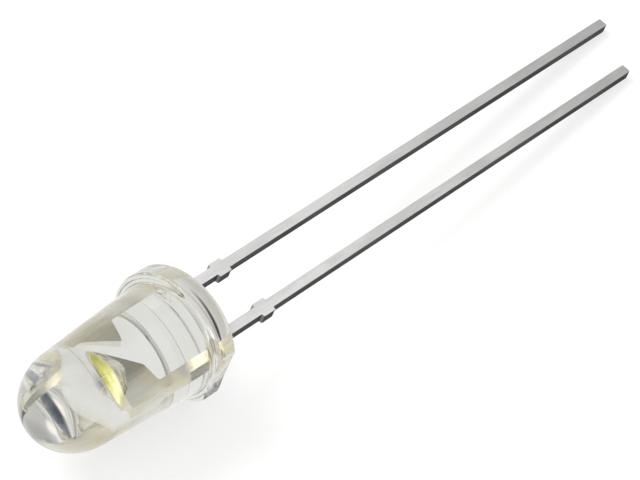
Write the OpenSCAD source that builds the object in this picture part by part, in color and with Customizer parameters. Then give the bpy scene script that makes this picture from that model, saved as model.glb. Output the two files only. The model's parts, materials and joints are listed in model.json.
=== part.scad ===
// Round through-hole LED with a clear lens, a flanged base and two square leads.
// Every piece is drawn upright first: Z is the lens axis with the dome up, the flange's
// underside is at z = 0, the anode is on +Y and the cathode on -Y. lie_down() then turns
// the whole part, about the centre of that underside, into the pose in which a loose one
// rests on a table: on the flange's rim and the tips of both leads.

/* [Epoxy body] */
// Diameter of the flange
flange_d = 5.8; // [5.6:0.1:6.2]
// Thickness of the flange
flange_h = 1; // [0.8:0.1:1.5]
// Bevel on the flange's outer edges
flange_bevel = 0.05; // [0.02:0.01:0.1]
// Distance from the axis to the flat that marks the cathode
flat_reach = 2.6; // [2.55:0.05:2.7]
// Diameter of the barrel where it leaves the flange
barrel_d = 5; // [4.8:0.05:5]
// Mould draft of the barrel, in degrees
barrel_draft = 3.6; // [1:0.2:4]
// Height of the body from the flange's underside to the dome's tip
body_h = 8.7; // [8.3:0.1:10]
// Radius of the curve that carries the barrel into the dome
shoulder_r = 2.6; // [2.5:0.1:3]
// Radius of the dome at its tip
tip_r = 1.85; // [1.7:0.05:1.85]
// Height of the resin that creeps along each lead
creep_h = 0.3; // [0.1:0.05:0.6]
// Width of that resin past the lead's corners, at the flange
creep_w = 0.18; // [0.1:0.02:0.3]

/* [Leads] */
// Spacing of the two leads, centre to centre
lead_pitch = 2.54; // [2.4:0.02:2.7]
// Width of each lead
lead_w = 0.45; // [0.4:0.01:0.5]
// Thickness of the sheet that the frame is stamped from
frame_t = 0.45; // [0.4:0.01:0.5]
// Length of the anode lead below the flange
anode_l = 30.6; // [25:0.1:32]
// How much shorter the cathode lead is
cathode_cut = 1.4; // [1:0.1:2]
// Distance from the flange to the stub of the cut tie bar
stub_drop = 3.3; // [2:0.1:5]
// Length of the stub along the lead
stub_l = 0.7; // [0.5:0.05:1]
// Width of the lead across the stub
stub_w = 0.75; // [0.6:0.05:0.9]
// Corner radius of the stubs and of the leads' tips
lead_round = 0.05; // [0.02:0.01:0.06]

/* [Anvil and post] */
// Height of the cup's rim above the flange's underside
rim_z = 5; // [4.9:0.05:5.2]
// Outer diameter of the cup at its rim
rim_d = 1.62; // [1.58:0.02:1.7]
// Thickness of the cup's wall at its rim
rim_wall = 0.1; // [0.08:0.01:0.14]
// Distance from the axis to the cup's centre, towards the cathode
cup_shift = 0.06; // [0:0.01:0.12]
// Depth of the cup
cup_depth = 0.42; // [0.38:0.02:0.44]
// Diameter of the cup's floor
cup_floor_d = 0.8; // [0.74:0.02:0.84]
// Depth of the bowl that is pressed out around the cup
bowl_h = 0.62; // [0.6:0.02:0.7]
// Length of the neck that blends the bowl into the anvil's plate
neck_h = 0.3; // [0.2:0.05:0.5]
// Width of the neck where it leaves the bowl
neck_w = 0.9; // [0.8:0.02:0.96]
// Gap between the cup and the post
frame_gap = 0.24; // [0.15:0.01:0.3]
// Gap between the feet of the anvil and the post
foot_gap = 0.8; // [0.7:0.02:0.9]
// Distance from the axis to the inner corner of the anvil's foot
foot_in = 0.34; // [0.2:0.01:0.4]
// Height of the anvil's foot above the flange's underside
foot_z = 3.4; // [3.2:0.05:3.6]
// How far the anvil's foot slopes down to its lead
foot_slope = 0.22; // [0.1:0.02:0.4]
// Height of the post's foot above the flange's underside
post_foot_z = 3.45; // [3.2:0.05:3.6]
// How far the post's foot slopes down to its lead
post_slope = 0.45; // [0.2:0.05:0.6]
// Height of the post's top above the cup's rim
post_rise = 0.35; // [0.2:0.05:0.4]
// Height of the post's straight inner face
post_face = 0.5; // [0.4:0.05:0.6]
// Corner radius of the anvil's and the post's outlines
head_round = 0.12; // [0.08:0.01:0.18]

/* [Chip, phosphor and wires] */
// Side of the square chip
chip_w = 0.3; // [0.25:0.01:0.34]
// Thickness of the chip
chip_h = 0.1; // [0.08:0.01:0.14]
// Thickness of the glue under the chip
bond_h = 0.03; // [0.02:0.005:0.05]
// How far the glue spreads past the chip's corners on the cup's floor
bond_spread = 0.04; // [0.02:0.01:0.06]
// Diameter of each contact pad
pad_d = 0.1; // [0.08:0.005:0.11]
// Thickness of each contact pad
pad_h = 0.01; // [0.008:0.001:0.02]
// Distance from each pad to the chip's edges
pad_edge = 0.02; // [0.01:0.005:0.03]
// Depth of the phosphor's edge below the cup's rim
fill_drop = 0.03; // [0.02:0.01:0.1]
// Depth of the dish in the phosphor's top
dish_h = 0.05; // [0.02:0.01:0.08]
// Diameter of the bond wires
wire_d = 0.025; // [0.02:0.001:0.03]
// Diameter of the ball and of the stitch that end each wire
ball_d = 0.09; // [0.07:0.005:0.1]
// Height of the ball
ball_h = 0.03; // [0.02:0.005:0.04]
// Height of the stitch
stitch_h = 0.02; // [0.016:0.002:0.03]
// Bend radius at the top of each wire's loop
wire_bend = 0.12; // [0.08:0.01:0.16]
// Height of each wire's loop above the cup's rim
loop_h = 0.56; // [0.5:0.02:0.6]

/* [Hidden] */
$fn = 96;

// Epoxy body: the shoulder's arc touches the barrel's line at its lower end and the tip's
// sphere at its upper end, and its centre lies past the axis, on the far side
flange_r = flange_d / 2;
barrel_r = barrel_d / 2;
draft_sin = sin(barrel_draft);
draft_cos = cos(barrel_draft);
tip_z = body_h - tip_r;
arc_lead = shoulder_r - barrel_r * draft_cos - flange_h * draft_sin;
arc_mid = tip_z * pow(draft_cos, 2) - arc_lead * draft_sin;
arc_gap = pow(arc_lead, 2) + (pow(tip_z, 2) - pow(shoulder_r - tip_r, 2)) * pow(draft_cos, 2);
arc_z = arc_mid - sqrt(pow(arc_mid, 2) - arc_gap);
arc_off = (arc_lead + arc_z * draft_sin) / draft_cos;
seam_z = arc_z + shoulder_r * draft_sin;
seam_r = shoulder_r * draft_cos - arc_off;
tip_seam_z = tip_z + tip_r * sin(atan2(tip_z - arc_z, arc_off));
corner_lap = 0.01;
creep_tip_r = norm([lead_w, frame_t]) / 2 + corner_lap;
creep_base_r = creep_tip_r + creep_w;

// Leads
cathode_l = anode_l - cathode_cut;
lead_in = (lead_pitch - lead_w) / 2;
lead_out = (lead_pitch + lead_w) / 2;
ledge_bevel = 0.12;

// Anvil and post
rim_r = rim_d / 2;
bowl_r = (pow(rim_r, 2) + pow(bowl_h, 2)) / (2 * bowl_h);
neck_z = rim_z - bowl_h + bowl_r - sqrt(pow(bowl_r, 2) - pow(neck_w / 2, 2));
plate_inset = 0.03;
plate_lip = 0.05;
anvil_in = rim_r - cup_shift - plate_inset;
post_z = rim_z + post_rise;
post_in = rim_r - cup_shift + frame_gap;
post_foot = foot_gap - foot_in;

// Chip, phosphor and wires
floor_z = rim_z - cup_depth;
chip_z = floor_z + bond_h;
pad_z = chip_z + chip_h;
pad_off = (chip_w - pad_d) / 2 - pad_edge;
bond_top_r = norm([chip_w, chip_w]) / 2 + corner_lap;
mouth_r = rim_r - rim_wall;
fill_r = mouth_r - (mouth_r - cup_floor_d / 2) * fill_drop / cup_depth;
dish_r = (pow(fill_r, 2) + pow(dish_h, 2)) / (2 * dish_h);
landing_y = (lead_in + lead_out) / 2;
over = 1;

// Resting pose: the rim and both tips touch one plane
rest_l = flange_bevel + anode_l - cathode_cut / 2;
first_tilt = atan((flange_r - frame_t / 2) / rest_l);
rest_roll = asin(cathode_cut * tan(first_tilt) / lead_pitch);
tip_reach = (frame_t * cos(rest_roll) + lead_w * sin(rest_roll)) / 2;
rest_tilt = atan((flange_r - tip_reach) / rest_l);

module lie_down() {
    rotate([0, rest_tilt - 90, 0]) rotate([0, 0, -rest_roll]) children();
}

// Rounds every corner of the shape it is given, inner and outer alike
module rounded(r) {
    offset(r, $fn = 24) offset(-2 * r, $fn = 24) offset(r, $fn = 24) children();
}

// Gives an outline in the frame's plane, Y across and Z up, the sheet's thickness
module stamped() {
    rotate([90, 0, 90]) linear_extrude(frame_t, center = true) children();
}

// Strip of a lead from one height to another; side is -1 for the cathode and 1 for the anode
module strip(side, low, high, width = lead_w) {
    translate([side * lead_pitch / 2 - width / 2, low]) square([width, high - low]);
}

// One lead of the frame in outline: the straight lead with the stub of its tie bar, and its
// head, the anvil or the post, whose foot slopes down to the lead at foot_top
module lead_outline(side, length, foot_top) {
    rounded(lead_round) {
        strip(side, -length, flange_h);
        strip(side, -stub_drop - stub_l, -stub_drop, stub_w);
    }
    rounded(head_round) {
        strip(side, 0, foot_top);
        children();
    }
}

module anvil_outline() {
    polygon([
        [anvil_in, rim_z],
        [anvil_in, rim_z - plate_lip],
        [-foot_in, foot_z],
        [-lead_in, foot_z - foot_slope],
        [-lead_out, foot_z - foot_slope],
        [-lead_out, rim_z - ledge_bevel],
        [-lead_out + ledge_bevel, rim_z]
    ]);
}

module post_outline() {
    polygon([
        [post_in, post_z],
        [post_in, post_z - post_face],
        [post_foot, post_foot_z],
        [lead_in, post_foot_z - post_slope],
        [lead_out, post_foot_z - post_slope],
        [lead_out, post_z - ledge_bevel],
        [lead_out - ledge_bevel, post_z]
    ]);
}

module at_cup(z = 0) {
    translate([0, -cup_shift, z]) children();
}

// Bowl that is pressed out of the sheet around the cup, and its neck
module cup_head() {
    at_cup() intersection() {
        translate([0, 0, rim_z - bowl_h + bowl_r]) sphere(bowl_r);
        translate([0, 0, rim_z - bowl_h]) cylinder(bowl_h, r = bowl_r);
    }
    at_cup(neck_z - neck_h) cylinder(neck_h, frame_t / 2, neck_w / 2);
}

module cup_hollow() {
    at_cup(floor_z) cylinder(cup_depth, cup_floor_d / 2, mouth_r);
}

module cathode_lead() {
    color("silver") difference() {
        union() {
            stamped() lead_outline(-1, cathode_l, foot_z - foot_slope) anvil_outline();
            cup_head();
        }
        cup_hollow();
    }
}

module anode_lead() {
    color("silver") stamped()
        lead_outline(1, anode_l, post_foot_z - post_slope) post_outline();
}

module die_bond() {
    color("whitesmoke") at_cup(floor_z)
        cylinder(bond_h, bond_top_r + bond_spread, bond_top_r);
}

module led_chip() {
    color("lightsteelblue") at_cup(chip_z)
        translate([-chip_w / 2, -chip_w / 2, 0]) cube([chip_w, chip_w, chip_h]);
}

// Places a piece at the chip's contact on the given side
module at_pad(side, z) {
    at_cup(z) translate([side * pad_off, side * pad_off, 0]) children();
}

module chip_pads() {
    color("gold") for (side = [-1, 1]) at_pad(side, pad_z) cylinder(pad_h, d = pad_d);
}

// Everything that the cup holds, with its dished top
module cup_fill() {
    difference() {
        cup_hollow();
        at_cup(rim_z - fill_drop - dish_h + dish_r) sphere(dish_r);
    }
}

module phosphor_fill() {
    color("gold") difference() {
        cup_fill();
        die_bond();
        led_chip();
        chip_pads();
        cathode_wire();
        anode_wire();
    }
}

// Ball on the chip, neck, bend and span down to the stitch; it runs from the origin to
// the point reach along +Y and rise up, and top is the height of its loop
module bond_wire(reach, rise, top) {
    to_stitch = [reach - wire_bend, rise + stitch_h - (top - wire_bend)];
    dip = atan2(-to_stitch.y, to_stitch.x);
    slope = dip + asin(wire_bend / norm(to_stitch));
    span = norm(to_stitch) * cos(slope - dip);
    cylinder(ball_h, d = ball_d);
    translate([0, 0, ball_h / 2]) cylinder(top - wire_bend - ball_h / 2, d = wire_d);
    translate([0, wire_bend, top - wire_bend]) rotate([90, 0, 90]) {
        rotate([0, 0, 90 - slope]) rotate_extrude(angle = 90 + slope)
            translate([wire_bend, 0]) circle(d = wire_d);
        rotate([0, 0, -slope]) translate([0, wire_bend, 0])
            rotate([0, 90, 0]) cylinder(span, d = wire_d);
    }
    translate([0, reach, rise]) cylinder(stitch_h, d = ball_d);
}

// Wire from the chip's contact on one side to the landing on that side's lead
module wire_to(side, landing_z) {
    start_z = pad_z + pad_h;
    reach = landing_y + side * cup_shift - pad_off;
    color("gold") at_pad(side, start_z) rotate([0, 0, side > 0 ? 0 : 180])
        bond_wire(reach, landing_z - start_z, rim_z + loop_h - start_z);
}

module cathode_wire() {
    wire_to(-1, rim_z);
}

module anode_wire() {
    wire_to(1, post_z);
}

module flange() {
    difference() {
        rotate_extrude() polygon([
            [0, 0],
            [flange_r - flange_bevel, 0],
            [flange_r, flange_bevel],
            [flange_r, flange_h - flange_bevel],
            [flange_r - flange_bevel, flange_h],
            [0, flange_h]
        ]);
        translate([-flange_r, -flat_reach - flange_d, -over])
            cube([flange_d, flange_d, flange_h + 2 * over]);
    }
}

module barrel() {
    translate([0, 0, flange_h]) cylinder(seam_z - flange_h, barrel_r, seam_r);
}

module dome() {
    rotate_extrude() intersection() {
        translate([-arc_off, arc_z]) circle(shoulder_r);
        translate([0, seam_z]) square([barrel_r, tip_seam_z - seam_z]);
    }
    intersection() {
        translate([0, 0, tip_z]) sphere(tip_r);
        translate([-barrel_r, -barrel_r, tip_seam_z]) cube([barrel_d, barrel_d, tip_r]);
    }
}

module creep() {
    for (side = [-1, 1]) translate([0, side * lead_pitch / 2, -creep_h])
        cylinder(creep_h, creep_tip_r, creep_base_r);
}

module epoxy_body() {
    color("lightcyan", 0.4) difference() {
        union() {
            flange();
            barrel();
            dome();
            creep();
        }
        cathode_lead();
        anode_lead();
        cup_fill();
        cathode_wire();
        anode_wire();
    }
}

lie_down() {
    epoxy_body();
    cathode_lead();
    anode_lead();
    die_bond();
    led_chip();
    chip_pads();
    phosphor_fill();
    cathode_wire();
    anode_wire();
}
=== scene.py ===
"""Clear through-hole LED, lying on a pale floor."""

import json
import math

import bmesh
import bpy
from mathutils import Matrix, Vector


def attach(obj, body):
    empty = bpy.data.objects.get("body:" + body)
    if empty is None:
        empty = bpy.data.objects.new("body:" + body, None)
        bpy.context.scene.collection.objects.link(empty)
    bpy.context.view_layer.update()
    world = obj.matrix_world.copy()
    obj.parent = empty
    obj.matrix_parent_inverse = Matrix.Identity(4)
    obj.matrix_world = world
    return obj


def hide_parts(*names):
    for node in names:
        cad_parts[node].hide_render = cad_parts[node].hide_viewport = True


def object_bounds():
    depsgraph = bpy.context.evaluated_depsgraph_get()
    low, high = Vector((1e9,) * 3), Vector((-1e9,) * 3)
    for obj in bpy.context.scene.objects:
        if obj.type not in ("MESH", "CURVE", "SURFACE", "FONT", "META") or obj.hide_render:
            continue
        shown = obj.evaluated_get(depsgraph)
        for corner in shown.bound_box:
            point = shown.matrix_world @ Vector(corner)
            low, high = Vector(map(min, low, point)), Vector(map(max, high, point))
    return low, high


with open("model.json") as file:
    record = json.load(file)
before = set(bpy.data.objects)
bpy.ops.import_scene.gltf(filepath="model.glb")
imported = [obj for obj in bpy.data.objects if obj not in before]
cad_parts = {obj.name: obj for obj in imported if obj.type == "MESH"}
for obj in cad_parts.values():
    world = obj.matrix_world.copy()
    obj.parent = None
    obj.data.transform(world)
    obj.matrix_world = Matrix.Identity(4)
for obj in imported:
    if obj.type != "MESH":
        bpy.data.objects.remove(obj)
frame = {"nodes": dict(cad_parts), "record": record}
cad_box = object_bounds()

MM = 0.001
NODES = frame["nodes"]
MOUNTS = {m["name"]: m for m in frame["record"]["mounts"]}

# ---- the part's own upright frame: Z along the dome, Y towards the anode ----
DOME = -Vector(MOUNTS["seating_face"]["axis"]).normalized()


def across(point):
    """The part of a point that lies across the lens axis."""
    point = Vector(point)
    return point - DOME * point.dot(DOME)


PITCH = across(MOUNTS["anode_pin"]["pos_m"]) - across(MOUNTS["cathode_pin"]["pos_m"])
TO_ANODE = PITCH.normalized()
SHEET = TO_ANODE.cross(DOME)
UPRIGHT = Matrix((SHEET, TO_ANODE, DOME)).transposed()

# ---- lens sizes in millimetres and the mould's draft in degrees, as the CAD has them ----
FLANGE_R = MOUNTS["flange_rim"]["dims"]["r_mm"]
FLANGE_H = 1.0
FLAT_REACH = 2.6
BARREL_R = 2.5
DRAFT = 3.6
BODY_H = 8.7
SHOULDER_R = 2.6
TIP_R = 1.85
LEAD_Y = PITCH.length / MM / 2
LEAD_W = 0.45
CREEP_H = 0.3

# ---- what the moulding adds to them, in millimetres: the underside's dish, the fall of the resin
# beside each lead, the flange's rounded edges and the fillet at the barrel's foot ----
DISH_H = 0.12
CREEP_FALL = 0.09
REAR_R = 0.07
FRONT_R = 0.2
FILLET_R = 0.2

# ---- fineness of the lens mesh; the last ring's angle is in degrees ----
SEGMENTS = 256
UNDERSIDE_RINGS = 80
EDGE_STEPS = 12
WALL_STEPS = 40
LAST_RING = 89.2


def arc(centre, radius, start, end, steps):
    """Points (r, z) on a circle's arc, with the angles in degrees from the r axis."""
    turn = [math.radians(start + (end - start) * i / steps) for i in range(steps + 1)]
    return [(centre[0] + radius * math.cos(a), centre[1] + radius * math.sin(a)) for a in turn]


def dome_arcs():
    """The dome's two arcs: the shoulder touches the barrel's line, and the tip touches the shoulder.

    The shoulder's centre, (-off, z), lies SHOULDER_R from the barrel's line and SHOULDER_R - TIP_R
    from the tip's centre. The tip's arc stops at LAST_RING, just short of the axis, where one
    vertex closes the mesh.
    """
    s, c = math.sin(math.radians(DRAFT)), math.cos(math.radians(DRAFT))
    tip_z = BODY_H - TIP_R
    lead = SHOULDER_R - BARREL_R * c - FLANGE_H * s
    mid = tip_z * c * c - lead * s
    z = mid - math.sqrt(mid * mid - lead * lead - (tip_z ** 2 - (SHOULDER_R - TIP_R) ** 2) * c * c)
    off = (lead + z * s) / c
    turn = math.degrees(math.atan2(tip_z - z, off))
    shoulder = arc((-off, z), SHOULDER_R, DRAFT, turn, WALL_STEPS)
    return shoulder[:-1] + arc((0, tip_z), TIP_R, turn, LAST_RING, WALL_STEPS)


def wall_profile():
    """The lens from the rim of its underside up to the dome's tip."""
    out = arc((FLANGE_R - REAR_R, REAR_R), REAR_R, -90, 0, EDGE_STEPS)
    out += arc((FLANGE_R - FRONT_R, FLANGE_H - FRONT_R), FRONT_R, 0, 90, EDGE_STEPS)
    foot = BARREL_R + FILLET_R, FLANGE_H + FILLET_R
    out += arc(foot, FILLET_R, -90, -180 + DRAFT, EDGE_STEPS)
    dome = dome_arcs()
    start = Vector(out[-1])
    seam = Vector(dome[0])
    out += [tuple(start.lerp(seam, i / WALL_STEPS)) for i in range(1, WALL_STEPS)]
    return out + dome


def underside(x, y):
    """Height of the underside: a shallow dish that the resin leaves, drawn out at the leads."""
    r = math.hypot(x, y) / (FLANGE_R - REAR_R)
    dish = DISH_H * (1 - r ** 4)
    gap = min(math.hypot(max(abs(x) - LEAD_W / 2, 0), max(abs(y - side * LEAD_Y) - LEAD_W / 2, 0))
              for side in (-1, 1))
    return dish - (CREEP_H + dish) * math.exp(-gap / CREEP_FALL)


def lens_rings():
    """Rings of points from the middle of the underside out, and up the wall to the tip."""
    inner = FLANGE_R - REAR_R
    radii = [inner * i / UNDERSIDE_RINGS for i in range(1, UNDERSIDE_RINGS)]
    turns = [2 * math.pi * i / SEGMENTS for i in range(SEGMENTS)]
    rings = [[(r * math.cos(a), r * math.sin(a), underside(r * math.cos(a), r * math.sin(a)))
              for a in turns] for r in radii]
    rings += [[(r * math.cos(a), r * math.sin(a), z) for a in turns] for r, z in wall_profile()]
    return rings


def cut_flat(mesh):
    """Cuts the flange's flat, closes the cut with one face and returns it in a list."""
    cut = bmesh.ops.bisect_plane(
        mesh, geom=mesh.verts[:] + mesh.edges[:] + mesh.faces[:], dist=1e-6,
        plane_co=(0, -FLAT_REACH, 0), plane_no=(0, -1, 0), clear_outer=True)
    edges = [e for e in cut["geom_cut"] if isinstance(e, bmesh.types.BMEdge)]
    return bmesh.ops.contextual_create(mesh, geom=edges)["faces"]


def lens_mesh():
    """The closed lens, smooth all over but for its flat."""
    mesh = bmesh.new()
    rings = [[mesh.verts.new(p) for p in ring] for ring in lens_rings()]
    for low, high in zip(rings, rings[1:]):
        for i in range(SEGMENTS):
            j = (i + 1) % SEGMENTS
            mesh.faces.new((low[i], low[j], high[j], high[i]))
    root = mesh.verts.new((0, 0, underside(0, 0)))
    tip = mesh.verts.new((0, 0, BODY_H))
    for i in range(SEGMENTS):
        j = (i + 1) % SEGMENTS
        mesh.faces.new((rings[0][j], rings[0][i], root))
        mesh.faces.new((rings[-1][i], rings[-1][j], tip))
    flat = cut_flat(mesh)
    for face in mesh.faces:
        face.smooth = True
    for face in flat:
        face.smooth = False
        for edge in face.edges:
            edge.smooth = False
    return mesh


def make_piece(name, mesh, mat, node):
    """Lays a mesh down as the CAD lies, and lets it stand for a node."""
    for v in mesh.verts:
        v.co = UPRIGHT @ v.co * MM
    data = bpy.data.meshes.new(name)
    mesh.to_mesh(data)
    mesh.free()
    data.materials.append(mat)
    piece = bpy.data.objects.new(name, data)
    bpy.context.collection.objects.link(piece)
    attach(piece, "root")
    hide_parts(node)


# ---- node graphs ----
BLACK = (0.0, 0.0, 0.0)
WHITE = (1.0, 1.0, 1.0)


class Graph:
    """A node tree with short ways to add to it. Values are sockets, numbers or colours."""

    def __init__(self, tree):
        self.nodes = tree.nodes
        self.links = tree.links
        self.coord = self.add("TexCoord")

    def add(self, kind, **settings):
        node = self.nodes.new("ShaderNode" + kind)
        for name, value in settings.items():
            setattr(node, name, value)
        return node

    def feed(self, socket, value):
        if isinstance(value, bpy.types.NodeSocket):
            self.links.new(value, socket)
        elif isinstance(value, tuple) and len(value) < len(socket.default_value):
            socket.default_value = (*value, 1)
        else:
            socket.default_value = value

    def math(self, operation, *values):
        node = self.add("Math", operation=operation)
        for socket, value in zip(node.inputs, values):
            self.feed(socket, value)
        return node.outputs[0]

    def dot(self, vector, axis):
        node = self.add("VectorMath", operation="DOT_PRODUCT")
        self.feed(node.inputs[0], vector)
        self.feed(node.inputs[1], axis)
        return node.outputs["Value"]

    def step(self, value, start, end, low=0.0, high=1.0):
        """A smooth step from low at start to high at end."""
        node = self.add("MapRange", interpolation_type="SMOOTHSTEP")
        for name, number in zip(("Value", "From Min", "From Max", "To Min", "To Max"),
                                (value, start, end, low, high)):
            self.feed(node.inputs[name], number)
        return node.outputs[0]

    def mix(self, factor, a, b, blend="MIX"):
        node = self.add("Mix", data_type="RGBA", blend_type=blend)
        self.feed(node.inputs[0], factor)
        for name, value in (("A_Color", a), ("B_Color", b)):
            self.feed(next(x for x in node.inputs if x.identifier == name), value)
        return next(x for x in node.outputs if x.identifier == "Result_Color")


class Finish(Graph):
    """A Principled material in the part's upright frame: place is in millimetres."""

    def __init__(self, name, **constants):
        self.mat = bpy.data.materials.new(name)
        self.mat.use_nodes = True
        super().__init__(self.mat.node_tree)
        self.bsdf = self.nodes["Principled BSDF"]
        self.set(**constants)
        axes = SHEET, TO_ANODE, DOME
        self.place = [self.dot(self.coord.outputs["Object"], axis / MM) for axis in axes]
        self.facing = [self.dot(self.coord.outputs["Normal"], axis) for axis in axes]

    def set(self, **values):
        for name, value in values.items():
            self.feed(self.bsdf.inputs[name.replace("_", " ")], value)

    def noise(self, per_mm, detail=2.0, offset=0.0):
        """Noise from about 0.3 to 0.7, with its own number of grains per millimetre on each axis."""
        join = self.add("CombineXYZ")
        for socket, value, scale in zip(join.inputs, self.place, per_mm):
            self.feed(socket, self.math("MULTIPLY_ADD", value, scale, offset))
        node = self.add("TexNoise")
        self.feed(node.inputs["Vector"], join.outputs[0])
        self.feed(node.inputs["Scale"], 1.0)
        self.feed(node.inputs["Detail"], detail)
        return node.outputs["Fac"]

    def bump(self, height, depth_mm):
        node = self.add("Bump")
        self.feed(node.inputs["Height"], height)
        self.feed(node.inputs["Distance"], depth_mm * MM)
        self.set(Normal=node.outputs[0])


# ---- materials ----
# Stretches of the leads, in millimetres from the seating face: the one along which painted shade
# darkens the leads towards their tips, and the one where the silver plate in the resin takes over
TIP_SHADE_Z = (-36.0, 0.0)
PLATE_Z = (-0.6, -0.3)


def lens_epoxy():
    """Clear resin: faintly uneven where it ran into the mould, and smudged."""
    f = Finish("lens_epoxy", Transmission_Weight=1.0, IOR=1.53)
    cloud = f.noise((0.5, 0.5, 0.3))
    clear = f.mix(f.step(cloud, 0.35, 0.65), (0.76, 0.76, 0.73), (0.73, 0.73, 0.69))
    f.set(Base_Color=clear)
    f.set(Roughness=f.step(f.noise((0.9, 0.9, 0.6), detail=3.0, offset=7.0), 0.55, 0.75, 0.0, 0.008))
    f.bump(f.noise((0.7, 0.7, 0.4), detail=0.0, offset=3.0), 0.004)
    return f.mat


def lead_metal():
    """Tin-plated strip: rolled grain along it, silver plate in the resin, and shear-cut sides of
    bare steel that painted shade makes near black; the ends get half of it, and painted shade
    darkens the leads towards their tips.
    """
    f = Finish("lead_metal", Specular_IOR_Level=0.06)
    z = f.place[2]
    # Painted shade: faces turned across the strip, and at half strength faces turned along the lens
    # axis, get the near-black colour below
    side = f.step(f.math("ABSOLUTE", f.facing[1]), 0.45, 0.75)
    end = f.step(f.math("ABSOLUTE", f.facing[2]), 0.45, 0.75, 0.0, 0.5)
    sheared = f.math("MAXIMUM", side, end)
    inside = f.step(z, *PLATE_Z)
    grain = f.noise((26, 26, 0.9), detail=3.0)
    cloud = f.noise((1.6, 1.6, 0.4), detail=3.0, offset=5.0)
    # Painted shade: the tin and the sheared faces get darker towards the tips; the finish itself
    # doesn't change
    painted_tip_shade = f.step(z, *TIP_SHADE_Z)
    tin = f.mix(painted_tip_shade, (0.49, 0.49, 0.49), (0.86, 0.86, 0.86))
    # Colour of the sheared faces: bare steel deepened to near black by painted shade
    bare_steel_and_shade = f.mix(painted_tip_shade, (0.038, 0.038, 0.040), (0.064, 0.064, 0.066))
    patches = f.step(f.noise((1.1, 1.1, 0.8), offset=9.0), 0.4, 0.6)
    plate = f.mix(patches, (0.98, 0.96, 0.87), (0.97, 0.92, 0.73))
    tone = f.mix(inside, f.mix(sheared, tin, bare_steel_and_shade), plate)
    tone = f.mix(f.step(grain, 0.35, 0.65, 0.10, 0.0), tone, BLACK)
    tone = f.mix(f.step(cloud, 0.40, 0.60, 0.06, 0.0), tone, BLACK)
    metal = f.mix(inside, f.mix(sheared, (0.5, 0.5, 0.5), BLACK), WHITE)
    f.set(Base_Color=tone, Metallic=metal)
    rough = f.step(inside, 0.0, 1.0, 0.48, 0.18)
    f.set(Roughness=f.math("ADD", rough, f.step(cloud, 0.35, 0.65, -0.05, 0.08)))
    f.bump(f.math("ADD", grain, cloud), 0.004)
    return f.mat


def phosphor():
    """Yellow phosphor in resin, grainy, with painted light and shade: darker and greener towards the
    post, palest with a painted highlight and a painted glow away from it, and duller at the far
    edge.
    """
    f = Finish("phosphor", IOR=1.5)
    y = f.place[1]
    cloud = f.noise((2.5, 2.5, 2.5), detail=3.0)
    grain = f.noise((28, 28, 28), offset=4.0)
    along = f.math("ADD", y, f.step(cloud, 0.3, 0.7, -0.15, 0.15))
    # Painted highlight and shade: pale at the end away from the post, olive towards the post
    tone = f.mix(f.step(along, -0.35, 0.1), (1.0, 1.0, 0.70), (1.0, 0.97, 0.28))
    rim = f.step(along, -0.8, -0.45)
    tone = f.mix(rim, (0.90, 0.88, 0.40), tone)
    tone = f.mix(f.step(along, 0.1, 0.75), tone, (0.74, 0.74, 0.14))
    tone = f.mix(f.step(grain, 0.45, 0.7), tone, (0.98, 0.93, 0.30))
    f.set(Base_Color=tone, Roughness=f.step(cloud, 0.3, 0.7, 0.35, 0.6))
    # Painted glow: emission from a part that is no lamp, strongest away from the post and weaker at
    # the far edge
    glow = f.step(along, -0.3, 0.4, 0.72, 0.15)
    glow = f.math("MULTIPLY", glow, f.step(rim, 0.0, 1.0, 0.4, 1.0))
    f.set(Emission_Color=tone, Emission_Strength=glow)
    f.bump(grain, 0.006)
    return f.mat


def gold():
    """Drawn gold wire and plated pads, with fine dull patches."""
    f = Finish("gold", Metallic=1.0)
    cloud = f.noise((12, 12, 12))
    f.set(Base_Color=f.mix(f.step(cloud, 0.35, 0.65), (0.98, 0.93, 0.80), (0.95, 0.88, 0.72)))
    f.set(Roughness=f.step(cloud, 0.35, 0.65, 0.18, 0.35))
    f.bump(cloud, 0.001)
    return f.mat


def adhesive():
    """Silver-filled die adhesive: dull grey with bright flakes."""
    f = Finish("die_adhesive", Metallic=0.6)
    flake = f.noise((40, 40, 40))
    f.set(Base_Color=f.mix(f.step(flake, 0.5, 0.7), (0.55, 0.54, 0.51), (0.85, 0.84, 0.80)))
    f.set(Roughness=f.step(flake, 0.4, 0.7, 0.6, 0.35))
    f.bump(flake, 0.003)
    return f.mat


def chip():
    """Polished crystal with a faint cloud and sawn, duller sides."""
    f = Finish("chip", IOR=1.77)
    cloud = f.noise((9, 9, 9))
    top = f.mix(f.step(cloud, 0.35, 0.65), (0.30, 0.38, 0.50), (0.38, 0.46, 0.56))
    side = f.step(f.facing[2], 0.8, 0.5)
    f.set(Base_Color=f.mix(side, top, (0.50, 0.54, 0.58)))
    f.set(Roughness=f.step(side, 0, 1, 0.12, 0.5))
    f.bump(cloud, 0.001)
    return f.mat


def finish_nodes():
    """Gives each CAD node that stays in view its material."""
    lead, plate, fill = lead_metal(), gold(), phosphor()
    finishes = {
        "cathode_lead": lead, "anode_lead": lead, "die_bond": adhesive(), "led_chip": chip(),
        "chip_pads": plate, "cathode_wire": plate, "anode_wire": plate, "phosphor_fill": fill,
    }
    for node, mat in finishes.items():
        for slot in NODES[node].material_slots:
            slot.material = mat


make_piece("clear_lens", lens_mesh(), lens_epoxy(), "epoxy_body")
finish_nodes()

# ---- floor, world and lamp ----
FLOOR_Z = cad_box[0].z

# Half of the floor's side, in metres
FLOOR_HALF = 3.0

# The floor's own light in glass and metal, from full to TABLE_FAR between two distances in metres
TABLE_R = (0.12, 0.5)
TABLE_FAR = 0.3

# The floor's light to the camera: what it reflects, where the shadow falls, and what it adds
FLOOR_LIT = 0.45
FLOOR_GLOW = 0.6

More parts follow.
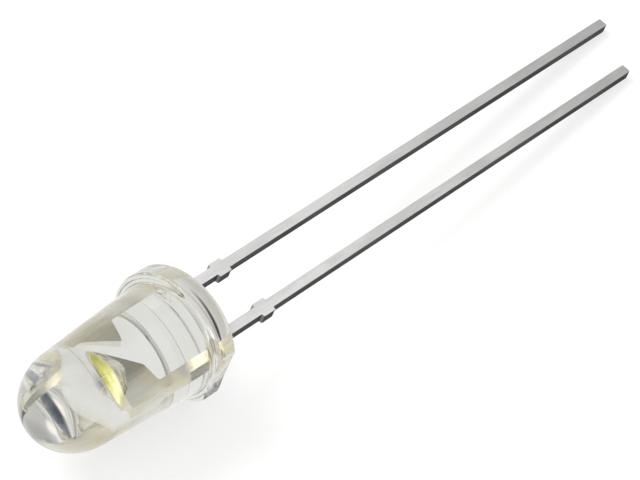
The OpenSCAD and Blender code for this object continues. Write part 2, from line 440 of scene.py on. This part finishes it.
# Soft shades on the floor, under the lens and before its dome, that glass and metal show:
# middle x and y, the distances where each is full and where it has faded, in millimetres,
# and its colour
SHADES = (
    (-5.9, 1.5, 0.8, 3.4, (0.72, 0.71, 0.69)),
    (-3.72, 1.68, 0.12, 0.42, (0.03, 0.02, 0.01)),
    (-10.2, -1.9, 0.4, 1.5, (0.10, 0.12, 0.18)),
)

# What the lens mirrors: azimuth and elevation of each panel's middle and the angles from it where
# the panel is full and where it has faded, all in degrees, and its colour
PANELS = (
    (-167, 10, 19.5, 29, (0.03, 0.05, 0.10)),
    (-162, 37, 1, 5, (1.35, 1.25, 1.20)),
    (-27, 32, 26, 44, (0.68, 0.67, 0.67)),
    (-4, 33, 3, 24, (0.45, 0.45, 0.44)),
    (26, 40, 8, 20, (0.25, 0.25, 0.25)),
    (62, 32, 12, 28, (0.38, 0.40, 0.44)),
    (-25, 62, 3, 11, (1.40, 1.32, 1.30)),
    (178, 60, 8, 16, (1.60, 1.52, 1.42)),
    (116, 45, 8, 18, (3.0, 2.8, 2.3)),
)
SKY = (0.90, 0.90, 0.90)


def shaded(graph):
    """The colour that glass and metal see: white, with the soft shades."""
    colour = WHITE
    for x, y, full, faded, tone in SHADES:
        gap = graph.add("VectorMath", operation="DISTANCE")
        graph.feed(gap.inputs[0], graph.coord.outputs["Object"])
        graph.feed(gap.inputs[1], Vector((x, y, 0)) * MM)
        near = graph.step(gap.outputs["Value"], faded * MM, full * MM)
        colour = graph.mix(near, colour, tone)
    return colour


def floor_finish():
    """White to the camera but for the object's shadow, and lit by itself in glass and metal."""
    mat = bpy.data.materials.new("floor")
    mat.use_nodes = True
    g = Graph(mat.node_tree)
    g.nodes.remove(g.nodes["Principled BSDF"])
    path = g.add("LightPath")
    seen = g.math("MAXIMUM", path.outputs["Is Glossy Ray"], path.outputs["Is Transmission Ray"])
    away = g.add("VectorMath", operation="LENGTH")
    g.feed(away.inputs[0], g.coord.outputs["Object"])
    far = g.step(away.outputs["Value"], *TABLE_R, 1.0, TABLE_FAR)
    diffuse = g.add("BsdfDiffuse")
    g.feed(diffuse.inputs["Color"], g.math("MULTIPLY_ADD", seen, -FLOOR_LIT, FLOOR_LIT))
    glow = g.add("Emission")
    g.feed(glow.inputs["Color"], g.mix(seen, WHITE, shaded(g)))
    to_glass = g.math("MULTIPLY", seen, far)
    to_camera = g.math("MULTIPLY", path.outputs["Is Camera Ray"], FLOOR_GLOW)
    g.feed(glow.inputs["Strength"], g.math("ADD", to_glass, to_camera))
    add = g.add("AddShader")
    g.feed(add.inputs[0], diffuse.outputs[0])
    g.feed(add.inputs[1], glow.outputs[0])
    g.feed(g.nodes["Material Output"].inputs["Surface"], add.outputs[0])
    return mat


def make_floor():
    """The wide floor that the object lies on."""
    mesh = bmesh.new()
    bmesh.ops.create_grid(mesh, x_segments=1, y_segments=1, size=FLOOR_HALF)
    data = bpy.data.meshes.new("floor")
    mesh.to_mesh(data)
    mesh.free()
    data.materials.append(floor_finish())
    floor = bpy.data.objects.new("floor", data)
    floor.location.z = FLOOR_Z
    bpy.context.collection.objects.link(floor)


def towards(azimuth, elevation):
    """The unit vector in a direction given in degrees."""
    a = math.radians(azimuth)
    e = math.radians(elevation)
    return Vector((math.cos(a) * math.cos(e), math.sin(a) * math.cos(e), math.sin(e)))


def make_world():
    """Even sky with the panels that the lens mirrors; plain white to the camera."""
    world = bpy.data.worlds.new("studio")
    bpy.context.scene.world = world
    world.use_nodes = True
    g = Graph(world.node_tree)
    colour = SKY
    for azimuth, elevation, full, faded, tone in PANELS:
        near = g.dot(g.coord.outputs["Generated"], towards(azimuth, elevation))
        edges = math.cos(math.radians(faded)), math.cos(math.radians(full))
        colour = g.mix(g.step(near, *edges), colour, tone)
    path = g.add("LightPath")
    colour = g.mix(path.outputs["Is Camera Ray"], colour, WHITE)
    g.feed(g.nodes["Background"].inputs["Color"], colour)


make_floor()
make_world()


def lamp(name, place_mm, aim_mm, size_mm, power):
    """A square lamp that lights dull surfaces and shows in no shiny or clear one."""
    data = bpy.data.lights.new(name, "AREA")
    data.shape = "SQUARE"
    data.size = size_mm * MM
    data.energy = power
    obj = bpy.data.objects.new(name, data)
    obj.location = Vector(place_mm) * MM
    obj.rotation_euler = (Vector(aim_mm) - Vector(place_mm)).to_track_quat("-Z", "Y").to_euler()
    obj.visible_glossy = False
    obj.visible_transmission = False
    bpy.context.collection.objects.link(obj)


lamp("key", place_mm=(-44, 108, 117), aim_mm=(5, 0, 0), size_mm=90, power=0.15)

# ---- camera: its azimuth from the -Y axis, elevation and roll; distance, aim point, focal length
# and sensor in millimetres; and what it draws, in metres ----
AZIMUTH = math.radians(-61.04)
ELEVATION = math.radians(47.89)
ROLL = math.radians(17.57)
DISTANCE = 140.89
AIM = (5.37, -1.89, 3.42)
FOCAL = 196.46
SENSOR = 36
CLIP = (0.01, 20)

# Enough bounces for a path through the lens and every form inside it
BOUNCES = 24


def make_camera():
    """Looks at AIM from the photograph's viewing angle."""
    back = Vector((math.sin(AZIMUTH) * math.cos(ELEVATION),
                   -math.cos(AZIMUTH) * math.cos(ELEVATION), math.sin(ELEVATION)))
    level = Vector((0, 0, 1)).cross(back).normalized()
    over = back.cross(level)
    right = level * math.cos(ROLL) + over * math.sin(ROLL)
    up = back.cross(right)
    data = bpy.data.cameras.new("camera")
    data.lens = FOCAL
    data.sensor_width = SENSOR
    data.clip_start, data.clip_end = CLIP
    cam = bpy.data.objects.new("camera", data)
    turn = Matrix((right, up, back)).transposed()
    spot = (Vector(AIM) + back * DISTANCE) * MM
    cam.matrix_world = Matrix.Translation(spot) @ turn.to_4x4()
    bpy.context.collection.objects.link(cam)
    bpy.context.scene.camera = cam


make_camera()
scene = bpy.context.scene
scene.view_settings.view_transform = "Standard"
scene.cycles.max_bounces = BOUNCES
scene.cycles.transmission_bounces = BOUNCES
scene.cycles.glossy_bounces = BOUNCES
